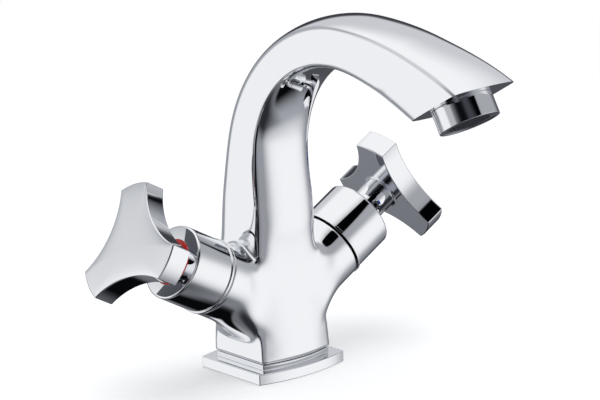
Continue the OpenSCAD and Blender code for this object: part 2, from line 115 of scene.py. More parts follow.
# Soft boxes and dark flags round the object, as polished metal sees them, each painted over
# the ones before.  A line holds the azimuth and elevation of its middle, half its width and
# height and its roll, all in degrees, then its colour and how soft its edge is.
FLAGS = [
    ("upper_right_wall", 66, 34, 54, 40, 0, "#a9abb0", 0.25),
    ("back_left_floor", -172, -30, 28, 34, 0, "#b4b6ba", 0.5),
    ("back_floor_dark", -178, -50, 9, 10, 0, "#45474e", 0.4),
    ("left_wall", -165, 14, 24, 40, 0, "#adb0b5", 0.25),
    ("lower_left_floor", -100, -42, 60, 22, 0, "#8b8e94", 0.5),
    ("back_right_wall", 138, 32, 30, 20, 0, "#cfd0d5", 0.2),
    ("overhead_box", 152, 80, 32, 35, 0, "#fbfbfc", 0.25),
    ("left_sweep_top", -134, 38, 8, 20, 0, "#d7d8dc", 0.4),
    ("left_sweep_falloff", -112, 2, 24, 26, 0, "#b9bbbf", 0.5),
    ("left_sweep", -132, -9, 18, 30, 0, "#f6f7f8", 0.3),
    ("back_right_dark", 128, -38, 18, 26, 6, "#4b4d53", 0.4),
    ("back_right_strip", 134, 4, 30, 9, 0, "#3a3c42", 0.6),
    ("under_front_dark", 115, -70, 32, 14, 0, "#08090b", 0.25),
    ("front_box_falloff", 40, -36, 40, 24, 0, "#a3a6ac", 0.5),
    ("camera_side_dark", -45, 24, 34, 38, 0, "#404248", 0.4),
    ("camera_floor_dark", -40, -56, 34, 18, 0, "#2b2d32", 0.5),
    ("camera_side_sheen", -12, -15, 34, 18, 0, "#989aa0", 0.65),
    ("camera_card_low", -77, -14, 13, 24, 0, "#0d0e11", 0.35),
    ("camera_card_middle", -58, 21, 16, 9, 0, "#0d0e11", 0.5),
    ("camera_card_high", -11, 50, 20, 13, 0, "#020305", 0.06),
    ("front_box", 38, -14, 29, 24, 0, "#e6e7ea", 0.42),
    ("front_box_middle", 40, -11, 17, 13, 0, "#fbfbfc", 0.9),
]
ROOM_GREY = srgb("#6a6c71")             # of the walls between them
FLAG_DEPTH = 1.2                        # keeps a flag off the far side of the room
direction = add_node(tree, "TexCoord").outputs["Generated"]
reflected = ROOM_GREY
for name, azimuth, elevation, half_width, half_height, flag_roll, colour, softness in FLAGS:
    middle, across = direction_at(azimuth, elevation), direction_at(azimuth + 90, 0)
    turned = Matrix((across, middle.cross(across), middle)).transposed()
    turned = turned @ Matrix.Rotation(math.radians(flag_roll), 3, "Z")
    half_size = math.sin(math.radians(half_width)), math.sin(math.radians(half_height))
    place = add_node(tree, "Mapping", {"vector_type": "TEXTURE", "name": name}, {
        "Vector": direction, "Location": middle, "Rotation": turned.to_euler(),
        "Scale": (*half_size, FLAG_DEPTH)})
    squared = add_node(tree, "VectorMath", {"operation": "MULTIPLY"}, {
        0: place.outputs["Vector"], 1: place.outputs["Vector"]})
    away = add_node(tree, "VectorMath", {"operation": "LENGTH"}, {0: squared.outputs["Vector"]})
    cover = add_node(tree, "MapRange", {"interpolation_type": "SMOOTHSTEP"}, {
        "Value": away.outputs["Value"], "From Min": (1 - softness) ** 2, "From Max": (1 + softness) ** 2,
        "To Min": 1.0, "To Max": 0.0})
    # A colour mix has its two colours at inputs 6 and 7, and the mixed one at output 2.
    painted = add_node(tree, "Mix", {"data_type": "RGBA"}, {
        "Factor": cover.outputs["Result"], 6: reflected, 7: srgb(colour)})
    reflected = painted.outputs[2]

# The camera sees white behind the object, metal sees the flags, and what is left is plain light.
rays = add_node(tree, "LightPath")
room = add_node(tree, "Background", inputs={"Color": srgb("#eef0f3"), "Strength": 0.55})
mirrored = add_node(tree, "Background", inputs={"Color": reflected, "Strength": 1.0})
white = add_node(tree, "Background", inputs={"Color": PAPER_WHITE, "Strength": 1.0})
in_metal = add_node(tree, "MixShader", inputs={
    0: rays.outputs["Is Glossy Ray"], 1: room.outputs[0], 2: mirrored.outputs[0]})
seen = add_node(tree, "Math", {"operation": "MAXIMUM"}, {
    0: rays.outputs["Is Camera Ray"], 1: rays.outputs["Is Transmission Ray"]})
surface = add_node(tree, "MixShader", inputs={
    0: seen.outputs[0], 1: in_metal.outputs[0], 2: white.outputs[0]})
add_node(tree, "OutputWorld", inputs={"Surface": surface.outputs[0]})


# The paper keeps the faucet's soft shadow, and fades to plain white away from it.
PAPER_SIZE = 12.0
FADE_FROM, FADE_TO = 0.15, 0.8          # metres from the middle
floor_paper, tree, output = new_material("floor_paper")
paper = add_node(tree, "BsdfDiffuse", inputs={"Color": srgb("#f4f4f5")})
glow = add_node(tree, "Emission", inputs={"Color": PAPER_WHITE, "Strength": 0.35})
lit = add_node(tree, "AddShader", inputs={0: paper.outputs[0], 1: glow.outputs[0]})
place = add_node(tree, "TexCoord")
distance = add_node(tree, "VectorMath", {"operation": "LENGTH"}, {0: place.outputs["Object"]})
far_off = add_node(tree, "MapRange", {"interpolation_type": "SMOOTHSTEP"}, {
    "Value": distance.outputs["Value"], "From Min": FADE_FROM, "From Max": FADE_TO})
beyond = add_node(tree, "Emission", inputs={"Color": PAPER_WHITE, "Strength": 1.0})
faded = add_node(tree, "MixShader", inputs={
    0: far_off.outputs["Result"], 1: lit.outputs[0], 2: beyond.outputs[0]})
tree.links.new(faded.outputs[0], output.inputs["Surface"])

mesh = bpy.data.meshes.new("floor")
mesh.from_pydata([(x * PAPER_SIZE / 2, y * PAPER_SIZE / 2, 0)
                  for x, y in ((-1, -1), (1, -1), (1, 1), (-1, 1))], [], [(0, 1, 2, 3)])
mesh.materials.append(floor_paper)
floor = bpy.data.objects.new("floor", mesh)
scene.collection.objects.link(floor)
floor.visible_glossy = False

# One soft box above and in front gives that shadow; metal doesn't see it.
BOX_AT, BOX_AIM = Vector((0, -0.3, 1.6)), Vector((0, 0, 0.05))
BOX_SIZE, BOX_POWER = 1.6, 14
lamp = bpy.data.lights.new("overhead_box", "AREA")
lamp.shape = "RECTANGLE"
lamp.size, lamp.size_y, lamp.energy = BOX_SIZE, BOX_SIZE, BOX_POWER
box = bpy.data.objects.new("overhead_box", lamp)
aimed = (BOX_AIM - BOX_AT).to_track_quat("-Z", "Y").to_matrix().to_4x4()
box.matrix_world = Matrix.Translation(BOX_AT) @ aimed
box.visible_glossy = False
scene.collection.objects.link(box)


# ------------------------------------------------------------------------------------------
# Body.  One brass casting, ground, polished and chromium plated: a column that swells into
# two tilted arms and runs up into a flat-sided neck and a long arched spout.
# ------------------------------------------------------------------------------------------
FOOT_Z, NECK_Z = 7.3, 60.0
FOOT_W, FOOT_D, FOOT_BOW = 39.6, 34.0, 3.4
ARM_TILT, ARM_CROSS_Z = math.radians(29.5), 29.0
ARM_R, ARM_LEN = 17.2, 41.0
CREST_T, CREST_W, CREST_LEAN = 18.4, 30.4, 15.0
OUTLET_LEN, OUTLET_TILT = 32.4, 29.3


def aim(degrees):
    """The direction [y, z] at an angle from +Y towards +Z."""
    return np.array([math.cos(math.radians(degrees)), math.sin(math.radians(degrees))])


def knot(middle, depth, lean, headings, half_width, bows):
    """A section of the casting: its two edges in side view, their headings, and its shape.

    Headings and bows are those of the back and of the front, and angles run from +Y towards +Z.
    """
    middle = np.array(middle, float)
    return {"back": middle + depth / 2 * aim(lean), "front": middle - depth / 2 * aim(lean),
            "headings": headings, "shape": np.array([half_width, *bows], float)}


crest_mid = np.array([-65.4, 158.3])
outlet_mid = np.array([-130.0, 142.2])
spout_mid = crest_mid + 0.53 * (outlet_mid - crest_mid) + (0, 3.1)      # on the arch between them
KNOTS = [
    knot((0, FOOT_Z), FOOT_D, 0, (90, 90), FOOT_W / 2, (FOOT_BOW, FOOT_BOW)),
    knot((0.7, NECK_Z), 28.4, 0, (99.5, 100), 17.5, (2.8, 3.4)),
    knot((-3.3, 108), 20.6, 11, (106, 96.5), 16, (2.8, 3)),
    knot(crest_mid, CREST_T / math.cos(math.radians(CREST_LEAN)), 90 + CREST_LEAN, (180, 180),
         CREST_W / 2, (3.3, 2)),
    knot(spout_mid, 24.3, 126.5, (193.6, 197.6), CREST_W / 2 + 0.5, (2.2, 1.6)),
    knot(outlet_mid, OUTLET_LEN, 180 - OUTLET_TILT, (206, 202), 17.8, (1.8, 1.2)),
]
SPOUT_SPAN = 3                          # the span that starts at the crest


def curve_point(start, end, leave, arrive, t):
    """A point on the curve that leaves start and reaches end at the given headings."""
    pull = np.linalg.norm(end - start) / math.cos(math.radians(arrive - leave) / 4) ** 2
    return ((1 + 2 * t) * (1 - t) ** 2 * start + t * (1 - t) ** 2 * pull * aim(leave)
            + t * t * (3 - 2 * t) * end - t * t * (1 - t) * pull * aim(arrive))


def section_ring(span, t, spread=0.0, inset=0.0, lift=0.0):
    """Sixteen points round the casting at t along a span, four on each side.

    The front and back are bowed, and spread carries their bow on past the corners.
    """
    a, b = KNOTS[span], KNOTS[span + 1]
    back, front = [curve_point(a[edge], b[edge], leave, arrive, t)
                   for edge, leave, arrive in zip(("back", "front"), a["headings"], b["headings"])]
    eased = t if span >= SPOUT_SPAN else t * t * (3 - 2 * t)
    w, back_bow, front_bow = a["shape"] + (b["shape"] - a["shape"]) * eased
    middle, half = (back + front) / 2, np.linalg.norm(back - front) / 2
    towards_back = (back - front) / (2 * half)
    w, half = w - inset, half - inset
    ring = []
    for turn, bow in ((1, front_bow), (-1, back_bow)):      # front and right, then back and left
        across = [(s * w, half + bow * (1 - (1 - spread) * s * s)) for s in (-1, -0.5, 0, 0.5)]
        along = [(w, half + spread * bow), (w, half / 2), (w, 0), (w, -half / 2)]
        for x, depth in across + along:
            y, z = middle - turn * depth * towards_back
            ring.append((turn * x, y, z + lift))
    return ring


AROUND = 16                             # points of the cage round each section
CORNERS = (0, 4, 8, 12)                 # of them, those on the casting's four edges
FACE_POINTS = [k for k in range(AROUND) if k not in CORNERS]


def stand_off(wanted):
    """Moves a cage out so that the smooth surface it draws, not the cage, passes through wanted."""
    wanted = np.array(wanted, float)
    cage = wanted.copy()
    for _ in range(8):                  # rounds, after which it has settled
        drawn = cage.copy()
        drawn[1:-1] = (cage[:-2] + 4 * cage[1:-1] + cage[2:]) / 6
        across = (np.roll(drawn, 1, 1) + 4 * drawn + np.roll(drawn, -1, 1)) / 6
        drawn[:, FACE_POINTS] = across[:, FACE_POINTS]
        cage += wanted - drawn
    return cage


# Rows of the cage up the column: height, and how far the bow spreads past the edges.
# The arms grow out of the sides between the third row and the seventh.
COLUMN = [(9.0, 0.0), (14.5, 0.0), (19.0, 0.0), (31.5, 0.3), (40.0, 0.55), (48.0, 0.6), (NECK_Z, 0.1)]
HOLE_FROM, HOLE_TO = 2, 6
column = [section_ring(0, (z - FOOT_Z) / (NECK_Z - FOOT_Z), spread) for z, spread in COLUMN]

# Where an arm meets the flat sides, the seam curves round it, furthest at the casting's edges:
# places round the cage, the rise of the row under the arm, and the drop of the row over it.
SEAM_CURVE = [(CORNERS, 3.5, 5.0), ((5, 7, 13, 15), 0.6, 1.6)]
for places, rise, drop in SEAM_CURVE:
    for row, move in ((column[HOLE_FROM], rise), (column[HOLE_TO], -drop)):
        for k in places:
            x, y, z = row[k]
            row[k] = (x, y, z + move)

# Rows up the neck and along the spout: each span between two knots, and how many it has.  The
# first row is the column's last, and one more, close to the tip, keeps the lip crisp.
ROWS_PER_SPAN = ((1, 6), (2, 13), (3, 5), (4, 5))
neck = [section_ring(span, i / count) for span, count in ROWS_PER_SPAN for i in range(count)][1:]
neck.append(section_ring(4, 0.965))
tip = section_ring(4, 1.0)
rows = list(stand_off(column + neck + [tip]))

# Rings under the foot and round its edge: how far in each lies, and how far up.
FOOT_RINGS = ((7.0, 0), (1.5, 0), (0.25, 0.25), (0, 1.6))
foot = [section_ring(0, 0, inset=inset, lift=lift) for inset, lift in FOOT_RINGS]


def arm_ring(side, reach_low, reach_high, radius):
    """A ring of an arm, from the front below to the front again, which may be askew."""
    ring = []
    for j in range(AROUND):
        angle = math.radians(360 / AROUND * j - 45)
        reach = (reach_low + reach_high) / 2 - (reach_high - reach_low) / 2 * math.cos(angle)
        below, behind = radius * math.cos(angle), radius * math.sin(angle)
        ring.append((side * (reach * math.cos(ARM_TILT) + below * math.sin(ARM_TILT)), behind,
                     ARM_CROSS_Z + reach * math.sin(ARM_TILT) - below * math.cos(ARM_TILT)))
    return ring


ROUND_CAGE = (4 + 2 * math.cos(2 * math.pi / AROUND)) / 6      # a round cage's circle, as a share of it
arm_cage_r = ARM_R / ROUND_CAGE
# Rings along an arm: how far out each lies below and above, and its radius.  The last ones
# turn its edge nearly sharp and run in over its flat end.
ARM_RINGS = [(25.0, 34.5, arm_cage_r), (32.0, 37.0, arm_cage_r), (38.5, 39.2, arm_cage_r),
             (ARM_LEN - 0.6, ARM_LEN - 0.6, arm_cage_r), (ARM_LEN, ARM_LEN, arm_cage_r - 0.35),
             (ARM_LEN, ARM_LEN, 8.0)]

cage = bmesh.new()
crease = cage.edges.layers.float.new("crease_edge")


def add_ring(points):
    """Adds a ring of cage vertices, from millimetres."""
    return [cage.verts.new(Vector(point) * MM) for point in points]


def join_rings(solid, low, high):
    """Adds faces between two rings of vertices."""
    for k in range(len(low)):
        n = (k + 1) % len(low)
        solid.faces.new((low[k], low[n], high[n], high[k]))


def ring_edges(ring):
    """The pairs of vertices round a ring."""
    return list(zip(ring, ring[1:] + ring[:1]))


def mark_edges(solid, layer, pairs, value):
    """Sets a layer's value on the edges between pairs of vertices."""
    for pair in pairs:
        solid.edges.get(pair)[layer] = value


# How sharp the casting's four edges are up the column, just under the arms, and from the arms
# upwards, where the last holds to the tip; then the seam over each arm and the edge of the tip.
COLUMN_SHARPNESS, UNDER_ARM_SHARPNESS, NECK_SHARPNESS = 0.7, 0.5, (0.0, 0.1, 0.2, 0.15)
SEAM_SHARPNESS, TIP_SHARPNESS = 0.5, 0.75

foot_rings = [add_ring(points) for points in foot]
cage.faces.new(foot_rings[0])
all_rings = foot_rings + [add_ring(points) for points in rows]
hole_low, hole_high = len(foot_rings) + HOLE_FROM, len(foot_rings) + HOLE_TO
for i, (low, high) in enumerate(zip(all_rings, all_rings[1:])):
    if hole_low <= i < hole_high:
        for k in (0, 1, 2, 3, 8, 9, 10, 11):            # the front and back; the arms fill the sides
            cage.faces.new((low[k], low[k + 1], high[k + 1], high[k]))
        continue
    join_rings(cage, low, high)
    if i < hole_low:
        sharpness = COLUMN_SHARPNESS if i < hole_low - 1 else UNDER_ARM_SHARPNESS
    else:
        sharpness = NECK_SHARPNESS[min(i - hole_high, len(NECK_SHARPNESS) - 1)]
    mark_edges(cage, crease, [(low[k], high[k]) for k in CORNERS], sharpness)

for side, front_to_back in ((1, (4, 5, 6, 7, 8)), (-1, (0, 15, 14, 13, 12))):
    front_k, back_k = front_to_back[0], front_to_back[-1]
    below = [all_rings[hole_low][k] for k in front_to_back]
    above = [all_rings[hole_high][k] for k in front_to_back]
    behind = [ring[back_k] for ring in all_rings[hole_low + 1:hole_high]]
    before = [ring[front_k] for ring in all_rings[hole_low + 1:hole_high]]
    mark_edges(cage, crease, zip(above, above[1:]), SEAM_SHARPNESS)
    inner = below + behind + above[::-1] + before[::-1]
    for reach_low, reach_high, radius in ARM_RINGS:
        outer = add_ring(arm_ring(side, reach_low, reach_high, radius))
        join_rings(cage, inner, outer)
        inner = outer
    cage.faces.new(inner)

# The outlet's flat face runs in from the lip to a ring under the aerator, and is closed there.
AERATOR_SHIFT, UNDER_AERATOR_R = 1.0, 12.0
RIM_ACROSS, RIM_ALONG = 0.93, 0.95      # where the flat face starts, as shares of the tip
to_heel = aim(-OUTLET_TILT)
outlet_centre = outlet_mid + AERATOR_SHIFT * to_heel
tip_ring = all_rings[-1]
rim_ring = add_ring([(RIM_ACROSS * x, *(outlet_mid + RIM_ALONG * (np.array([y, z]) - outlet_mid)))
                     for x, y, z in tip])
join_rings(cage, tip_ring, rim_ring)
under_points = []
for k in range(AROUND):
    angle = math.radians(360 / AROUND * k - 135)
    y, z = outlet_centre + UNDER_AERATOR_R * math.sin(angle) * to_heel
    under_points.append((UNDER_AERATOR_R * math.cos(angle), y, z))
under_ring = add_ring(under_points)
join_rings(cage, rim_ring, under_ring)
cage.faces.new(under_ring)
mark_edges(cage, crease, ring_edges(tip_ring), TIP_SHARPNESS)

bmesh.ops.recalc_face_normals(cage, faces=cage.faces)
mesh = bpy.data.meshes.new("body_skin")
cage.to_mesh(mesh)
cage.free()
mesh.shade_smooth()
body_skin = bpy.data.objects.new("body_skin", mesh)
scene.collection.objects.link(body_skin)
rounding = body_skin.modifiers.new("rounding", "SUBSURF")
rounding.levels = rounding.render_levels = 3

# Bright chromium over polished brass: a mirror a little cooler than silver, and hardly blurred.
chrome_plate, tree, output = new_material("chromium_plate")
shader = add_node(tree, "BsdfPrincipled",
                  inputs={"Base Color": srgb("#f5f6f8"), "Metallic": 1.0, "Roughness": 0.03})
tree.links.new(shader.outputs[0], output.inputs["Surface"])
body_skin.data.materials.append(chrome_plate)
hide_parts("body_casting")
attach(body_skin, "root")


# ------------------------------------------------------------------------------------------
# Base plate.  A brass pressing, polished and chromium plated, that covers the hole in the
# worktop.  The shank passes through it, and the body stands on its raised step.
# ------------------------------------------------------------------------------------------
BASE_W, BASE_D, BASE_BOW, BASE_T = 50.0, 41.0, 4.0, 5.0
STEP_INSET = 0.4
SHANK_HOLE_R = 15.65
GROOVE_R, GROOVE_W, GROOVE_DEPTH = 19.15, 2.2, 1.61
PLATE_ROUNDING = 0.45
SHARP_TURN = math.radians(32)           # of an edge that is rounded


def bowed_outline(width, depth, bow, steps=20):
    """A rectangle whose front and back bow out, anticlockwise from its front left corner."""
    radius = (width * width / 4 + bow * bow) / (2 * bow)
    swing = math.asin(width / 2 / radius)
    front = [(radius * math.sin(swing * (2 * i / steps - 1)),
              radius - depth / 2 - bow - radius * math.cos(swing * (2 * i / steps - 1)))
             for i in range(steps)]
    right = [(width / 2, depth * (i / steps - 0.5)) for i in range(steps)]
    return front + right + [(-x, -y) for x, y in front + right]


def circle(radius, count, first_turn=0.0):
    """Points round a circle, anticlockwise from first_turn in degrees."""
    turns = [math.radians(first_turn + 360 * k / count) for k in range(count)]
    return [(radius * math.cos(turn), radius * math.sin(turn)) for turn in turns]


def skin_rings(solid, place, rings, closed=False):
    """Joins rings of [x, y] points at their heights, in millimetres, into one surface."""
    placed = [[solid.verts.new(MM * (place @ Vector((x, y, z)))) for x, y in points]
              for points, z in rings]
    for low, high in zip(placed, placed[1:] + placed[:1] if closed else placed[1:]):
        join_rings(solid, low, high)
    return placed


def to_object(name, solid, material):
    """A smooth shaded object from a closed bmesh."""
    bmesh.ops.recalc_face_normals(solid, faces=solid.faces)
    mesh = bpy.data.meshes.new(name)
    solid.to_mesh(mesh)
    solid.free()
    mesh.shade_smooth()
    mesh.materials.append(material)
    piece = bpy.data.objects.new(name, mesh)
    scene.collection.objects.link(piece)
    return piece


def round_edges(piece, width, limit="ANGLE"):
    """Rounds the sharp edges of a piece, and keeps its flat faces flat to the light."""
    rounding = piece.modifiers.new("edge_rounding", "BEVEL")
    rounding.width, rounding.segments = width * MM, 3
    rounding.limit_method, rounding.angle_limit = limit, SHARP_TURN
    rounding.harden_normals = True


solid = bmesh.new()
plate_edge = bowed_outline(BASE_W, BASE_D, BASE_BOW)
step_edge = bowed_outline(FOOT_W - 2 * STEP_INSET, FOOT_D - 2 * STEP_INSET, FOOT_BOW)
hole_turn = math.degrees(math.atan2(-BASE_D, -BASE_W))     # the rings start at the same corner
round_rings = [(circle(r, len(plate_edge), hole_turn), z) for r, z in (
    (SHANK_HOLE_R, FOOT_Z), (SHANK_HOLE_R, 0), (GROOVE_R - GROOVE_W, 0),
    (GROOVE_R - GROOVE_W, GROOVE_DEPTH), (GROOVE_R, GROOVE_DEPTH), (GROOVE_R, 0))]
skin_rings(solid, Matrix(), [(plate_edge, 0), (plate_edge, BASE_T), (step_edge, BASE_T),
                             (step_edge, FOOT_Z)] + round_rings, closed=True)
base_plate = to_object("base_plate_polished", solid, chrome_plate)
round_edges(base_plate, PLATE_ROUNDING)
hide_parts("base_plate")
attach(base_plate, "root")


# ------------------------------------------------------------------------------------------
# Caps.  A turned brass skirt, chromium plated, screws down over each valve as far as a hair
# line from the arm.  Its small lip catches the light at that seam.
# ------------------------------------------------------------------------------------------
PLAY = 0.05                             # between pieces that fit together
CAP_Z, CAP_TOP_Z, CAP_R, CAP_WALL, CAP_ROUND = 41.6, 63.6, 17.0, 1.5, 1.2
CAP_END_Z = 61.0                        # the inside of its end
LIP_OUT, LIP_LEN = 0.6, 1.2
INDEX_R, INDEX_SEAT_Z, WEB_HOLE_R = 10.5, 62.35, 6.0
COLLAR_R, COLLAR_Z, SLEEVE_R = 8.5, 48.0, 11.0
CAP_EDGE_ROUNDING = 0.16


def on_arm(side):
    """The frame of an arm: its axis is z, and side is -1 for hot and 1 for cold."""
    return (Matrix.Translation((0, 0, ARM_CROSS_Z))
            @ Matrix.Rotation(side * (math.pi / 2 - ARM_TILT), 4, "Y"))


def lathe(place, profile, count=96):
    """A turned solid, from the [radius, height] points of its closed profile."""
    solid = bmesh.new()
    skin_rings(solid, place, [(circle(r, count), z) for r, z in profile], closed=True)
    return solid


cap_profile = [(CAP_R + LIP_OUT, CAP_Z), (CAP_R + LIP_OUT, CAP_Z + LIP_LEN), (CAP_R, CAP_Z + LIP_LEN)]
cap_profile += [(CAP_R - CAP_ROUND * (1 - math.cos(turn)), CAP_TOP_Z - CAP_ROUND * (1 - math.sin(turn)))
                for turn in (math.pi / 2 * i / 8 for i in range(9))]
cap_profile += [(INDEX_R + PLAY, CAP_TOP_Z), (INDEX_R + PLAY, INDEX_SEAT_Z), (WEB_HOLE_R, INDEX_SEAT_Z),
                (WEB_HOLE_R, CAP_END_Z), (COLLAR_R + PLAY, CAP_END_Z), (COLLAR_R + PLAY, COLLAR_Z),
                (SLEEVE_R, COLLAR_Z), (SLEEVE_R, CAP_END_Z), (CAP_R - CAP_WALL, CAP_END_Z),
                (CAP_R - CAP_WALL, CAP_Z)]
for node, side in (("hot_cap", -1), ("cold_cap", 1)):
    cap = to_object(node + "_polished", lathe(on_arm(side), cap_profile, 128), chrome_plate)
    round_edges(cap, CAP_EDGE_ROUNDING)
    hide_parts(node)
    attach(cap, "root")


# ------------------------------------------------------------------------------------------
# Index rings.  A moulded plastic ring, red for hot and blue for cold, pressed into a recess
# in the end of each cap, so that it shows round the hub under the handle.
# ------------------------------------------------------------------------------------------
INDEX_HOLE_R, INDEX_TOP_Z, INDEX_ROUNDING = WEB_HOLE_R + 0.3, CAP_TOP_Z + PLAY, 0.2


def index_plastic(name, colour):
    """Glossy moulded ABS: a clear highlight over a full, even colour, with faint flow marks."""
    material, tree, output = new_material(name)
    place = add_node(tree, "TexCoord")
    swirl = add_node(tree, "TexNoise", inputs={
        "Vector": place.outputs["Object"], "Scale": 1 / (1.5 * MM), "Detail": 2.0})
    gloss = add_node(tree, "MapRange", inputs={
        "Value": swirl.outputs["Fac"], "To Min": 0.16, "To Max": 0.26})
    shader = add_node(tree, "BsdfPrincipled", inputs={
        "Base Color": srgb(colour), "Roughness": gloss.outputs["Result"]})
    tree.links.new(shader.outputs[0], output.inputs["Surface"])
    return material


ring_profile = [(INDEX_HOLE_R, INDEX_SEAT_Z), (INDEX_R, INDEX_SEAT_Z), (INDEX_R, INDEX_TOP_Z),
                (INDEX_HOLE_R, INDEX_TOP_Z)]
for node, side, slot, colour in (("hot_index_ring", -1, "red_index", "#c92a23"),
                                 ("cold_index_ring", 1, "blue_index", "#1f57b8")):
    ring = to_object(node + "_moulded", lathe(on_arm(side), ring_profile),
                     index_plastic(slot + "_plastic", colour))
    round_edges(ring, INDEX_ROUNDING)
    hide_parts(node)
    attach(ring, "root")


# ------------------------------------------------------------------------------------------
# Handles.  A zinc die casting, three lobes with hollow sides and a hub in one, polished and
# chromium plated.  The hub slides over the spindle, and a grub screw in its side holds it.
# ------------------------------------------------------------------------------------------
HUB_Z, HUB_R, HUB_FILLET = 63.9, 8.0, 1.0
PLATE_Z, PLATE_T = 79.2, 10.7
LOBE_R, WAIST_R, LOBE_HALF = 28.6, 15.5, math.radians(16.4)
SOCKET_R, SOCKET_TOP_Z = 4.55, 77.5
GRUB_Z, GRUB_HOLE_R, GRUB_MOUTH_R = 69.0, 2.05, 2.6
GRUB_THROAT_R = HUB_R - 0.75            # where the mouth's bevel ends
HANDLE_ROUNDING = 0.6
PILLOW, PILLOW_EDGE = 0.12, 0.22        # how far the face falls away, all over and near its edge
LOBE_STEPS, SIDE_STEPS = 8, 24          # points on the end of a lobe, and on a side between two
HANDLE_POINTS = 3 * (LOBE_STEPS + SIDE_STEPS)
HUB_START = -15                         # degrees from the first lobe to the hub's first point
PORT_POINTS = 48


def three_lobes():
    """The handle's outline, anticlockwise from a corner of its first lobe."""
    corner = (LOBE_R * math.cos(math.pi / 3 - LOBE_HALF), LOBE_R * math.sin(math.pi / 3 - LOBE_HALF))
    sag = corner[0] - WAIST_R
    side_r = (corner[1] ** 2 + sag ** 2) / (2 * sag)
    swing = math.asin(corner[1] / side_r)
    points = []
    for lobe in range(3):
        towards = 2 * math.pi * lobe / 3
        for i in range(LOBE_STEPS):
            turn = towards + LOBE_HALF * (2 * i / LOBE_STEPS - 1)
            points.append((LOBE_R * math.cos(turn), LOBE_R * math.sin(turn)))
        towards += math.pi / 3
        for i in range(SIDE_STEPS):
            turn = towards + math.pi + swing * (1 - 2 * i / SIDE_STEPS)
            points.append(((WAIST_R + side_r) * math.cos(towards) + side_r * math.cos(turn),
                           (WAIST_R + side_r) * math.sin(towards) + side_r * math.sin(turn)))
    return points


def drilled_wall(solid, place, radius, below, above, port_turn, columns, half_height):
    """A round wall with a window cut in it at port_turn, and the ring of points round the window.

    below and above are the wall's heights outside the window, which is 2 * columns steps wide and
    2 * half_height high.  Its ring has as many points as the grub screw's hole.
    """
    row_count = PORT_POINTS // 2 - 2 * columns
    first, last = len(below), len(below) + row_count
    heights = below + [GRUB_Z + half_height * (2 * i / row_count - 1) for i in range(row_count + 1)] + above
    points = circle(radius, HANDLE_POINTS, HUB_START)
    wall = [[solid.verts.new(MM * (place @ Vector((x, y, z)))) for x, y in points] for z in heights]
    middle = round((port_turn - HUB_START) / 360 * HANDLE_POINTS)
    window = [(middle + k) % HANDLE_POINTS for k in range(-columns, columns)]
    for row, (low, high) in enumerate(zip(wall, wall[1:])):
        for k in range(HANDLE_POINTS):
            if not (first <= row < last and k in window):
                n = (k + 1) % HANDLE_POINTS
                solid.faces.new((low[k], low[n], high[n], high[k]))
    left, right = window[0], (middle + columns) % HANDLE_POINTS
    ring = [wall[first][k] for k in window] + [wall[row][right] for row in range(first, last)]
    ring += [wall[last][k] for k in [right] + window[:0:-1]]
    ring += [wall[row][left] for row in range(last, first, -1)]
    return wall, ring


def port_ring(solid, place, port_turn, hole_r, reach, on_wall=True):
    """Points round the grub screw's hole, on a round wall of radius reach, or flat at that reach."""
    turn = math.radians(port_turn)
    ring = []
    for u, v in circle(hole_r, PORT_POINTS, -135):
        out = math.sqrt(reach ** 2 - u * u) if on_wall else reach
        x = out * math.cos(turn) - u * math.sin(turn)
        y = out * math.sin(turn) + u * math.cos(turn)
        ring.append(solid.verts.new(MM * (place @ Vector((x, y, GRUB_Z + v)))))
    return ring


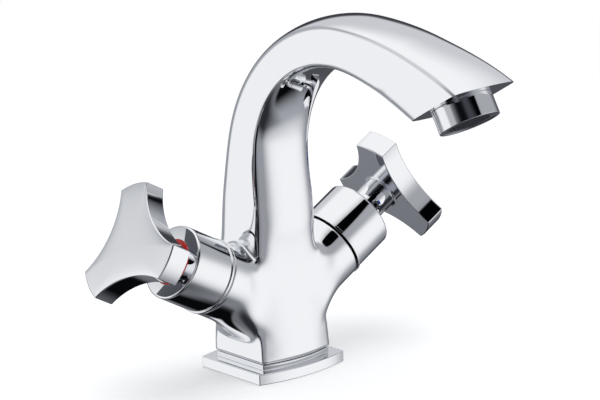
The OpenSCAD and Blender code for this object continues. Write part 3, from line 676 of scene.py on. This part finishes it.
def handle(name, side, lobe_turn, grub_turn):
    """One handle: lobe_turn is the first lobe's place round the arm, grub_turn the screw's from it."""
    place = on_arm(side) @ Matrix.Rotation(math.radians(90 + side * lobe_turn), 4, "Z")
    port = (side * grub_turn) % 360
    outline = three_lobes()
    solid = bmesh.new()
    weight = solid.edges.layers.float.new("bevel_weight_edge")

    # The front face is very slightly pillowed, as polishing leaves it.
    face = [([(x * s, y * s) for x, y in outline], PLATE_Z + PLATE_T - PILLOW * s ** 2 - PILLOW_EDGE * s ** 8)
            for s in (0.1, 0.3, 0.5, 0.65, 0.77, 0.86, 0.93, 1.0)]
    face_rings = skin_rings(solid, place, face)
    solid.faces.new(face_rings[0])

    # The rear face runs in to the fillet round the hub.
    fillet_r = HUB_R + HUB_FILLET
    rear = [(outline, PLATE_Z), (circle(fillet_r + 0.5, HANDLE_POINTS, HUB_START), PLATE_Z)]
    for turn in (math.pi / 2 * i / 6 for i in range(6)):
        rear.append((circle(fillet_r - HUB_FILLET * math.sin(turn), HANDLE_POINTS, HUB_START),
                     PLATE_Z - HUB_FILLET * (1 - math.cos(turn))))
    rear_rings = skin_rings(solid, place, rear)
    join_rings(solid, face_rings[-1], rear_rings[0])

    # The hub and its socket, joined by the grub screw's hole.
    wall, window = drilled_wall(
        solid, place, HUB_R, below=[HUB_Z], above=[75.0, 77.9, PLATE_Z - HUB_FILLET],
        port_turn=port, columns=6, half_height=3.06)
    join_rings(solid, rear_rings[-1], wall[-1])
    socket, inner_window = drilled_wall(
        solid, place, SOCKET_R, below=[HUB_Z], above=[SOCKET_TOP_Z],
        port_turn=port, columns=8, half_height=2.3)
    join_rings(solid, wall[0], socket[0])
    solid.faces.new(socket[-1])

    mouth = port_ring(solid, place, port, GRUB_MOUTH_R, HUB_R)
    throat = port_ring(solid, place, port, GRUB_HOLE_R, GRUB_THROAT_R, on_wall=False)
    end = port_ring(solid, place, port, GRUB_HOLE_R, SOCKET_R)
    for outer, inner in ((window, mouth), (mouth, throat), (throat, end),
                         (end, inner_window[2:] + inner_window[:2])):
        join_rings(solid, outer, inner)

    # How round each edge is, as a share of the handle's rounding; the hole's edges stay sharp.
    face_edge, rear_edge = face_rings[-1], rear_rings[0]
    per_lobe = LOBE_STEPS + SIDE_STEPS
    corners = [per_lobe * lobe + end_point for lobe in range(3) for end_point in (0, LOBE_STEPS)]
    mark_edges(solid, weight, ring_edges(face_edge), 1.0)
    mark_edges(solid, weight, ring_edges(rear_edge), 0.8)
    mark_edges(solid, weight, [(face_edge[k], rear_edge[k]) for k in corners], 0.6)
    mark_edges(solid, weight, ring_edges(wall[0]) + ring_edges(socket[0]), 0.3)
    for ring in (mouth, throat, end, socket[-1]):
        for pair in ring_edges(ring):
            solid.edges.get(pair).smooth = False
    piece = to_object(name, solid, chrome_plate)
    round_edges(piece, HANDLE_ROUNDING, "WEIGHT")
    return piece


for node, side, lobe_turn, grub_turn in (("hot_handle", -1, 66, 180), ("cold_handle", 1, 106, 60)):
    piece = handle(node + "_polished", side, lobe_turn, grub_turn)
    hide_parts(node)
    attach(piece, node + "_body")


# ------------------------------------------------------------------------------------------
# Aerator housing.  A turned brass nut, chromium plated, that screws onto the spout's spigot
# and holds the insert by the thin lip round its mouth.
# ------------------------------------------------------------------------------------------
AERATOR_R, AERATOR_LEN, MOUTH_R, HOUSING_LIP, THREAD_R = 13.3, 9.8, 9.35, 0.9, 11.05
RIM_W, RIM_BEVEL, RIM_DEPTH = 1.1, 0.5, 0.35        # the bright rim round its mouth
HOUSING_ROUNDING = 0.22
outlet_axis = Matrix.Translation((0, *outlet_centre)) @ Matrix.Rotation(
    math.radians(180 - OUTLET_TILT), 4, "X")
housing_profile = [
    (THREAD_R, PLAY), (AERATOR_R, PLAY), (AERATOR_R, AERATOR_LEN), (AERATOR_R - RIM_W, AERATOR_LEN),
    (AERATOR_R - RIM_W - RIM_BEVEL, AERATOR_LEN - RIM_DEPTH), (MOUTH_R, AERATOR_LEN - RIM_DEPTH),
    (MOUTH_R, AERATOR_LEN - HOUSING_LIP), (THREAD_R, AERATOR_LEN - HOUSING_LIP)]
aerator_housing = to_object(
    "aerator_housing_polished", lathe(outlet_axis, housing_profile, 128), chrome_plate)
round_edges(aerator_housing, HOUSING_ROUNDING)
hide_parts("aerator_housing")
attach(aerator_housing, "root")


# ------------------------------------------------------------------------------------------
# Aerator insert.  A dark acetal moulding that the lip of the housing holds.  Water leaves it
# between two layers of thin moulded bars, which give its face a fine, regular texture.
# ------------------------------------------------------------------------------------------
INSERT_R, GRID_R = 10.5, 9.0
INSERT_FLOOR_Z, INSERT_SHOULDER_Z, INSERT_FACE_Z = 7.0, 8.88, 9.4
BAR_PITCH, BAR_WIDTH, BAR_DEPTH, BARS_A_SIDE = 1.05, 0.34, 0.45, 8
BAR_END_R, BAR_TOP_Z = GRID_R + 0.1, INSERT_FACE_Z - 0.05      # in the wall, and just under its face
PLATE_GAP = 0.02                        # between the end of the wall and the plate in it
NOZZLE_R, NOZZLE_RING_R = 1.9, 5.2

nozzles = [(0.0, 0.0)] + circle(NOZZLE_RING_R, 6)
plate = bpy.data.curves.new("insert_plate", "CURVE")
plate.dimensions, plate.fill_mode = "2D", "BOTH"
plate.extrude = (INSERT_SHOULDER_Z - INSERT_FLOOR_Z - 2 * BAR_DEPTH) / 2 * MM
for x, y, radius, count in [(0, 0, GRID_R, 96)] + [(x, y, NOZZLE_R, 32) for x, y in nozzles]:
    loop = plate.splines.new("POLY")
    points = circle(radius, count)
    loop.points.add(len(points) - 1)
    for point, (u, v) in zip(loop.points, points):
        point.co = ((x + u) * MM, (y + v) * MM, 0, 1)
    loop.use_cyclic_u = True
plate_form = bpy.data.objects.new("insert_plate", plate)
scene.collection.objects.link(plate_form)
drawn = plate_form.evaluated_get(bpy.context.evaluated_depsgraph_get())
plate_mesh = bpy.data.meshes.new_from_object(drawn)
bpy.data.objects.remove(plate_form)
plate_lift = (INSERT_FLOOR_Z + PLATE_GAP) * MM + plate.extrude

solid = bmesh.new()
solid.from_mesh(plate_mesh)
outlet_place = Matrix.Translation(outlet_axis.translation * MM) @ outlet_axis.to_3x3().to_4x4()
bmesh.ops.transform(solid, verts=solid.verts, matrix=outlet_place @ Matrix.Translation((0, 0, plate_lift)))
skin_rings(solid, outlet_axis, [(circle(r, 96), z) for r, z in (
    (GRID_R, INSERT_FLOOR_Z), (INSERT_R, INSERT_FLOOR_Z), (INSERT_R, INSERT_SHOULDER_Z),
    (MOUTH_R - PLAY, INSERT_SHOULDER_Z), (MOUTH_R - PLAY, INSERT_FACE_Z),
    (GRID_R, INSERT_FACE_Z))], closed=True)
for layer, top in ((0, BAR_TOP_Z), (1, BAR_TOP_Z - BAR_DEPTH)):
    for i in range(-BARS_A_SIDE, BARS_A_SIDE + 1):
        across = i * BAR_PITCH
        reach = math.sqrt(BAR_END_R ** 2 - across ** 2)
        block = [(along, across + side * BAR_WIDTH / 2)
                 for along, side in ((-reach, -1), (reach, -1), (reach, 1), (-reach, 1))]
        if layer:
            block = [(-v, u) for u, v in block]
        bar = skin_rings(solid, outlet_axis, [(block, top - BAR_DEPTH), (block, top)])
        solid.faces.new(bar[0][::-1])
        solid.faces.new(bar[1])

# Moulded acetal: dark and waxy, duller where the mould was spark-eroded.
acetal, tree, output = new_material("moulded_acetal")
place = add_node(tree, "TexCoord")
grain = add_node(tree, "TexNoise", inputs={
    "Vector": place.outputs["Object"], "Scale": 1 / (0.4 * MM), "Detail": 3.0})
sheen = add_node(tree, "MapRange", inputs={"Value": grain.outputs["Fac"], "To Min": 0.38, "To Max": 0.52})
shader = add_node(tree, "BsdfPrincipled", inputs={
    "Base Color": srgb("#33363d"), "Roughness": sheen.outputs["Result"]})
tree.links.new(shader.outputs[0], output.inputs["Surface"])
insert = to_object("aerator_insert_moulded", solid, acetal)
insert.data.shade_flat()
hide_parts("aerator_insert")
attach(insert, "root")


# ------------------------------------------------------------------------------------------
# Aerator screen and gasket.  A dished disc of woven stainless wire stops grit above the
# insert, and a black rubber ring seals the housing to the spigot.
# ------------------------------------------------------------------------------------------
def dress(node, material):
    """Gives a CAD node its material."""
    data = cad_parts[node].data
    data.materials.clear()
    data.materials.append(material)


# Stainless wire in a plain weave of 0.5 mm: a grey metal that breaks up into small squares.
woven_wire, tree, output = new_material("woven_stainless_wire")
place = add_node(tree, "TexCoord")
threads = add_node(tree, "TexVoronoi", {"distance": "CHEBYCHEV"}, {
    "Vector": place.outputs["Object"], "Scale": 1 / (0.5 * MM), "Randomness": 0.0})
weave = add_node(tree, "Bump", inputs={
    "Height": threads.outputs["Distance"], "Strength": 0.8, "Distance": 0.2 * MM})
shader = add_node(tree, "BsdfPrincipled", inputs={
    "Base Color": srgb("#b4b6ba"), "Metallic": 1.0, "Roughness": 0.34, "Normal": weave.outputs["Normal"]})
tree.links.new(shader.outputs[0], output.inputs["Surface"])
dress("aerator_screen", woven_wire)

# Moulded nitrile rubber: matt black, with the patchy bloom that rubber gets on a shelf.
black_rubber, tree, output = new_material("moulded_black_rubber")
place = add_node(tree, "TexCoord")
bloom = add_node(tree, "TexNoise", inputs={
    "Vector": place.outputs["Object"], "Scale": 1 / (2.5 * MM), "Detail": 4.0})
dulled = add_node(tree, "MapRange", inputs={"Value": bloom.outputs["Fac"], "To Min": 0.62, "To Max": 0.82})
shader = add_node(tree, "BsdfPrincipled", inputs={
    "Base Color": srgb("#1c1c1d"), "Roughness": dulled.outputs["Result"]})
tree.links.new(shader.outputs[0], output.inputs["Surface"])
dress("aerator_gasket", black_rubber)


# ------------------------------------------------------------------------------------------
# Rubber seals.  The same black nitrile, moulded: the deck gasket in the groove under the
# base plate, the seat seal under each ceramic cartridge and the O-rings on each spindle.
# ------------------------------------------------------------------------------------------
for node in ("base_gasket", "hot_seat_seal", "cold_seat_seal", "hot_spindle_orings", "cold_spindle_orings"):
    dress(node, black_rubber)


# ------------------------------------------------------------------------------------------
# Headparts and spindles.  Turned from brass bar and left bare, so that fine tool marks run
# round them, with a little colour where the metal has dulled.
# ------------------------------------------------------------------------------------------
TOOL_MARK = 0.16                        # coarser than real ones, so that they show
WAVE_WIDTH = 0.31                       # of one band of the wave pattern, at a scale of 1


def turned_brass(side):
    """Bare turned brass: a warm, broken sheen, with tool marks that run round the axis of an arm."""
    material, tree, output = new_material("turned_brass_hot" if side < 0 else "turned_brass_cold")
    place = add_node(tree, "TexCoord")
    along_arm = add_node(tree, "Mapping", {"vector_type": "TEXTURE"}, {
        "Vector": place.outputs["Object"], "Location": on_arm(side).translation * MM,
        "Rotation": on_arm(side).to_euler()})
    cuts = add_node(tree, "TexWave", {"bands_direction": "Z", "wave_profile": "TRI"}, {
        "Vector": along_arm.outputs["Vector"], "Scale": WAVE_WIDTH / (TOOL_MARK * MM),
        "Distortion": 0.4})
    marks = add_node(tree, "Bump", inputs={
        "Height": cuts.outputs["Fac"], "Strength": 0.25, "Distance": 0.01 * MM})
    age = add_node(tree, "TexNoise", inputs={
        "Vector": place.outputs["Object"], "Scale": 1 / (3.0 * MM), "Detail": 5.0})
    colour = add_node(tree, "Mix", {"data_type": "RGBA"}, {
        "Factor": age.outputs["Fac"], 6: srgb("#d9b468"), 7: srgb("#b98f49")})
    dulled = add_node(tree, "MapRange", inputs={"Value": age.outputs["Fac"], "To Min": 0.2, "To Max": 0.42})
    shader = add_node(tree, "BsdfPrincipled", inputs={
        "Base Color": colour.outputs[2], "Metallic": 1.0, "Roughness": dulled.outputs["Result"],
        "Normal": marks.outputs["Normal"]})
    tree.links.new(shader.outputs[0], output.inputs["Surface"])
    return material


for side, prefix in ((-1, "hot_"), (1, "cold_")):
    brass = turned_brass(side)
    dress(prefix + "headpart", brass)
    dress(prefix + "spindle", brass)


# ------------------------------------------------------------------------------------------
# Ceramic discs.  Lapped alumina, off-white and as smooth as glass where the two discs meet;
# the faint speckle is the grain of the sintered body, drawn coarse enough to show.
# ------------------------------------------------------------------------------------------
alumina, tree, output = new_material("lapped_alumina")
place = add_node(tree, "TexCoord")
speck = add_node(tree, "TexNoise", inputs={
    "Vector": place.outputs["Object"], "Scale": 1 / (0.25 * MM), "Detail": 2.0})
tint = add_node(tree, "Mix", {"data_type": "RGBA"}, {
    "Factor": speck.outputs["Fac"], 6: srgb("#f2efe8"), 7: srgb("#e4e0d6")})
shader = add_node(tree, "BsdfPrincipled", inputs={"Base Color": tint.outputs[2], "Roughness": 0.16})
tree.links.new(shader.outputs[0], output.inputs["Surface"])
for node in ("hot_fixed_disc", "hot_moving_disc", "cold_fixed_disc", "cold_moving_disc"):
    dress(node, alumina)


# ------------------------------------------------------------------------------------------
# Headpart gaskets.  Flat washers cut from pressed red fibre sheet, matt, with the short
# fibres showing as darker flecks.
# ------------------------------------------------------------------------------------------
red_fibre, tree, output = new_material("pressed_red_fibre")
place = add_node(tree, "TexCoord")
fibres = add_node(tree, "TexNoise", inputs={
    "Vector": place.outputs["Object"], "Scale": 1 / (0.6 * MM), "Detail": 6.0, "Distortion": 1.5})
tint = add_node(tree, "Mix", {"data_type": "RGBA"}, {
    "Factor": fibres.outputs["Fac"], 6: srgb("#b0503c"), 7: srgb("#7c2f24")})
shader = add_node(tree, "BsdfPrincipled", inputs={"Base Color": tint.outputs[2], "Roughness": 0.85})
tree.links.new(shader.outputs[0], output.inputs["Surface"])
dress("hot_headpart_gasket", red_fibre)
dress("cold_headpart_gasket", red_fibre)


# ------------------------------------------------------------------------------------------
# Glide rings.  Thin white PTFE washers, skived from a billet, waxy to the eye, on which each
# spindle's driver turns against its headpart.
# ------------------------------------------------------------------------------------------
ptfe, tree, output = new_material("skived_ptfe")
place = add_node(tree, "TexCoord")
haze = add_node(tree, "TexNoise", inputs={
    "Vector": place.outputs["Object"], "Scale": 1 / (1.2 * MM), "Detail": 2.0})
waxy = add_node(tree, "MapRange", inputs={"Value": haze.outputs["Fac"], "To Min": 0.4, "To Max": 0.55})
shader = add_node(tree, "BsdfPrincipled", inputs={
    "Base Color": srgb("#f1f1ec"), "Roughness": waxy.outputs["Result"],
    "Subsurface Weight": 0.2, "Subsurface Scale": 0.5 * MM})
tree.links.new(shader.outputs[0], output.inputs["Surface"])
dress("hot_glide_ring", ptfe)
dress("cold_glide_ring", ptfe)


# ------------------------------------------------------------------------------------------
# Circlips and grub screws.  Hardened steel with a dark phosphate finish: nearly black, with
# a dull metallic sheen.  The screw in each hub shows its hexagon socket.
# ------------------------------------------------------------------------------------------
# The phosphate's crystals are too fine to show, so they are drawn 0.15 mm wide.
phosphated, tree, output = new_material("phosphated_steel")
place = add_node(tree, "TexCoord")
crystals = add_node(tree, "TexNoise", inputs={
    "Vector": place.outputs["Object"], "Scale": 1 / (0.15 * MM), "Detail": 4.0})
dulled = add_node(tree, "MapRange", inputs={"Value": crystals.outputs["Fac"], "To Min": 0.35, "To Max": 0.55})
shader = add_node(tree, "BsdfPrincipled", inputs={
    "Base Color": srgb("#5a5c60"), "Metallic": 1.0, "Roughness": dulled.outputs["Result"]})
tree.links.new(shader.outputs[0], output.inputs["Surface"])
for node in ("hot_circlip", "cold_circlip", "hot_grub_screw", "cold_grub_screw"):
    dress(node, phosphated)
